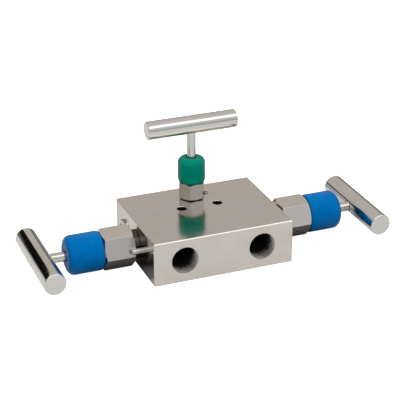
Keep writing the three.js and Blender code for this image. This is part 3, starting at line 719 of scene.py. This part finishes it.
for name, root, radius, start, head, end, stem, flats in each_valve(
        (5.3, 6.0, 29.7, 37.7, 43.3, 3.65, 16.0), (4.3, 4.9, 15.3, 20.9, 25.3, 3.35, 11.6)):
    shank = turned([(0, start), (root - 0.2, start), (root, start + 0.3), (root, head + 0.3),
                    (0, head + 0.3)])
    thread = threaded(root - 0.05, radius, start + 0.2, head - 0.1, 1.0)
    corner, drop = hexagon_ends(flats)
    ends = turned([(0, head), (corner - 0.2, head), (corner, head + 0.1), (corner, end - drop),
                   (flats / 2 - 0.2, end), (0, end)], 96)
    top = machined(hexagon(flats, head - 1, end + 1, 0, 0.15), [ends], "INTERSECT")
    bolt = machined(shank, [thread, top], "UNION")
    hole = turned([(0, start - 1), (stem + 0.3, start - 1), (stem + 0.3, start), (stem, start + 0.3),
                   (stem, end - 0.3), (stem + 0.3, end), (stem + 0.3, end + 1), (0, end + 1)])
    fitted(machined(bolt, [hole]), name + "_gland_hexagon_bolt", places[name], "manifold",
           name + "_gland_bolt", drawn_stainless)
for name, root, flats, start, end in each_valve((6.3, 18.0, 33.9, 37.4), (5.2, 12.4, 17.8, 20.6)):
    corner, drop = hexagon_ends(flats)
    ends = turned([(0, start), (flats / 2 - 0.2, start), (corner, start + drop), (corner, end - drop),
                   (flats / 2 - 0.2, end), (0, end)], 96)
    nut = machined(hexagon(flats, start - 1, end + 1, 0, 0.15), [ends], "INTERSECT")
    tapping = [turned([(0, start - 1), (root + 0.5, start - 1), (root + 0.5, start),
                       (root - 0.1, start + 0.6), (root - 0.1, end - 0.6), (root + 0.5, end),
                       (root + 0.5, end + 1), (0, end + 1)]),
               threaded(root - 0.15, root + 0.45, start - 0.8, end + 0.8, 1.0)]
    fitted(machined(nut, tapping), name + "_gland_lock_nut", places[name], "manifold",
           name + "_lock_nut", drawn_stainless)

# ---- Spindles ----
# Stainless bar, turned with a button for the tip, a collar and the working thread, then centreless
# ground along the stem that runs through the packing and up into the handle.
# Ground 316 stainless: bright and close to a mirror, with very fine rings.
ground_stainless = stainless("centreless_ground_316_stem", "CCCAC7", 0.1, 0.18, "turned", 0.2, 0.002)
for name, button, neck, stem, root, crest, levels, pitch in each_valve(
        (2.2, 1.3, 3.35, 3.85, 4.6, (-17.6, -16.2, -15.1, -10.1, 7.9, 68.15), 1.25),
        (1.7, 1.0, 3.05, 3.3, 3.9, (-14.7, -13.6, -12.7, -8.5, 1.8, 55.15), 1.0)):
    bottom, button_top, collar, thread_start, thread_end, top = levels
    rod = turned([
        (0, bottom), (button - 0.2, bottom), (button, bottom + 0.2), (button, button_top),
        (neck, button_top), (neck, collar), (stem - 0.3, collar), (stem, collar + 0.3), (stem, thread_start),
        (root, thread_start + 0.6), (root, thread_end - 0.6), (stem, thread_end),
        (stem, top - 0.5), (stem - 0.5, top), (0, top)])
    working_thread = threaded(root - 0.05, crest, thread_start + 0.4, thread_end - 0.4, pitch)
    fitted(machined(rod, [working_thread], "UNION"), name + "_ground_stem", places[name],
           name + "_spindle_and_handle", name + "_spindle", ground_stainless)


# ---- Dust caps ----
# Moulded polyethylene cups pushed over each boss, blue on the isolating valves and green on the
# equalising one. Each has a rounded shoulder and a lip that draws in.
def moulded_polyethylene(name, dark, light):
    """Moulded polyethylene dyed right through: its sheen is weak and takes on the dye."""
    plastic, tree = bare_finish(name)
    place = add_node(tree, "ShaderNodeTexCoord", {}, {})
    flow = add_node(tree, "ShaderNodeTexNoise", {},
                    {"Vector": place.outputs["Object"], "Scale": 1 / (7 * MM), "Detail": 3.0})
    skin = add_node(tree, "ShaderNodeTexNoise", {},
                    {"Vector": place.outputs["Object"], "Scale": 1 / (1.2 * MM), "Detail": 2.0})
    dye = add_node(tree, "ShaderNodeValToRGB", {"stops": [(0.3, linear(dark)), (0.7, linear(light))]},
                   {"Fac": flow.outputs["Fac"]})
    gloss = add_node(tree, "ShaderNodeMapRange", {},
                     {"Value": flow.outputs["Fac"], "From Min": 0.3, "From Max": 0.7,
                      "To Min": 0.24, "To Max": 0.34})
    ripple = add_node(tree, "ShaderNodeBump", {},
                      {"Height": flow.outputs["Fac"], "Distance": 0.12 * MM, "Strength": 0.5})
    fine = add_node(tree, "ShaderNodeBump", {},
                    {"Height": skin.outputs["Fac"], "Distance": 0.01 * MM, "Strength": 0.4,
                     "Normal": ripple.outputs[0]})
    body = add_node(tree, "ShaderNodeBsdfPrincipled", {},
                    {"Base Color": dye.outputs["Color"], "Roughness": gloss.outputs[0], "IOR": 1.51,
                     "Specular IOR Level": 0.12, "Specular Tint": linear(light), "Normal": fine.outputs[0]})
    add_node(tree, "ShaderNodeOutputMaterial", {}, {"Surface": body.outputs[0]})
    return plastic


blue_polyethylene = moulded_polyethylene("moulded_blue_polyethylene", "005896", "00619F")
green_polyethylene = moulded_polyethylene("moulded_green_polyethylene", "006D5B", "007866")
shoulder_steps = 12
inside_steps = 6
for name, inner, radius, start, end, hole, shoulder, wall, slot, plastic in each_valve(
        (10.9, 13.15, 25.35, 48.55, 3.65, 4.5, 2.0, "blue_cap_plastic", blue_polyethylene),
        (7.5, 9.25, 12.35, 29.25, 3.35, 3.7, 1.7, "green_cap_plastic", green_polyethylene)):
    outside = [(inner + 0.15, start), (radius - 0.6, start), (radius - 0.42, start + 0.08),
               (radius - 0.36, start + 0.3), (radius - 0.36, start + 0.8), (radius - 0.08, start + 1.0),
               (radius, start + 1.3)]
    for i in range(shoulder_steps + 1):
        angle = math.radians(90 * i / shoulder_steps)
        outside.append((radius - shoulder + shoulder * math.cos(angle),
                        end - shoulder + shoulder * math.sin(angle)))
    soft = shoulder - wall
    inside = [(hole + 0.3, end), (hole, end - 0.3), (hole, end - wall), (inner - soft, end - wall)]
    for i in range(1, inside_steps + 1):
        angle = math.radians(90 - 90 * i / inside_steps)
        inside.append((inner - soft + soft * math.cos(angle), end - wall - soft + soft * math.sin(angle)))
    cap = turned(outside + inside + [(inner, start + 0.15)], 128)
    fitted(cap, name + "_moulded_dust_cap", places[name], "manifold", name + "_dust_cap", plastic)

# ---- T handles ----
# Polished and chromed steel bars with turned ends, bored for the stem and cross-drilled for the
# set screw that holds them on it.
# Polished chrome: a clear mirror with the faintest rings.
chromed_bar = stainless("polished_chromed_bar", "D2D1CF", 0.07, 0.13, "turned", 0.5, 0.001)
# A bar's side is made in short bands along it, so that the faces its holes cut through stay small.
bands = 24
bar_centres = {}
for name, radius, length, stem, underside, hole_depth, screw, screw_side in each_valve(
        (7.3, 71.6, 3.65, 57.95, 10.5, 2.3, -1), (6.2, 63.2, 3.35, 46.45, 9.0, 2.1, 1)):
    half = length / 2
    outline = [(0, -half), (radius - 0.75, -half), (radius - 0.35, -half + 0.12),
               (radius - 0.1, -half + 0.38), (radius, -half + 0.75)]
    for i in range(1, bands):
        outline.append((radius, -half + 0.75 + (length - 1.5) * i / bands))
    outline += [(radius, half - 0.75), (radius - 0.1, half - 0.38), (radius - 0.35, half - 0.12),
                (radius - 0.75, half), (0, half)]
    bar = turned(outline, 128)
    # The bar lies along its own Z, so its tool marks ring it. The stem's and screw's holes cross it.
    to_stem = Matrix.Rotation(math.radians(90), 4, "Y")
    bar_centres[name] = underside + radius
    stem_hole = turned([(0, -radius - 1), (stem + 0.4, -radius - 1), (stem + 0.4, -radius + 0.6),
                        (stem, -radius + 1.2), (stem, -radius + hole_depth),
                        (0, -radius + hole_depth + 1.5)], 64)
    screw_hole = moved(turned([(0, 0), (screw, 0), (screw, radius + 1), (0, radius + 1)], 48),
                       Matrix.Rotation(math.radians(-90 * screw_side), 4, "X"))
    for tool in (stem_hole, screw_hole):
        moved(tool, to_stem.inverted())
    bar = machined(bar, [stem_hole, screw_hole])
    place = places[name] @ Matrix.Translation((0, 0, bar_centres[name] * MM)) @ to_stem
    fitted(bar, name + "_chromed_t_bar", place, name + "_spindle_and_handle", name + "_t_handle",
           chromed_bar)

# ---- Handle set screws ----
# Alloy steel socket screws with rolled threads, sunk in the bar, that bite on the stem from the side.
# Black oxide is nearly black, blotched, and has a dull oily sheen.
black_oxide, tree = bare_finish("black_oxide_alloy_steel")
blotches = add_node(tree, "ShaderNodeTexNoise", {}, {"Scale": 1 / (0.8 * MM), "Detail": 4.0})
oxide = add_node(tree, "ShaderNodeValToRGB",
                 {"stops": [(0.3, linear("1B1B1D")), (0.7, linear("2C2C30"))]},
                 {"Fac": blotches.outputs["Fac"]})
oxide_bump = add_node(tree, "ShaderNodeBump", {}, {"Height": blotches.outputs["Fac"],
                                                   "Distance": 0.01 * MM, "Strength": 0.5})
oiled = add_node(tree, "ShaderNodeBsdfPrincipled", {},
                 {"Base Color": oxide.outputs["Color"], "Roughness": 0.4, "Metallic": 0.8,
                  "Normal": oxide_bump.outputs[0]})
add_node(tree, "ShaderNodeOutputMaterial", {}, {"Surface": oiled.outputs[0]})
for name, radius, start, end, flats, deep, screw_side in each_valve(
        (2.0, 3.65, 6.8, 2.0, 1.4, -1), (1.8, 3.35, 5.7, 1.8, 1.3, 1)):
    core = turned([(0, start), (radius - 0.7, start), (radius - 0.4, start + 0.3),
                   (radius - 0.35, end - 0.2), (radius - 0.5, end), (0, end)], 48)
    thread = threaded(radius - 0.38, radius, start + 0.3, end - 0.15, 0.7, sides=48)
    screw = machined(machined(core, [thread], "UNION"), [hexagon(flats, end - deep, end + 1)])
    place = places[name] @ Matrix.Translation((0, 0, bar_centres[name] * MM)) @ Matrix.Rotation(
        math.radians(-90 * screw_side), 4, "X")
    fitted(screw, name + "_socket_set_screw", place, name + "_spindle_and_handle",
           name + "_handle_screw", black_oxide)
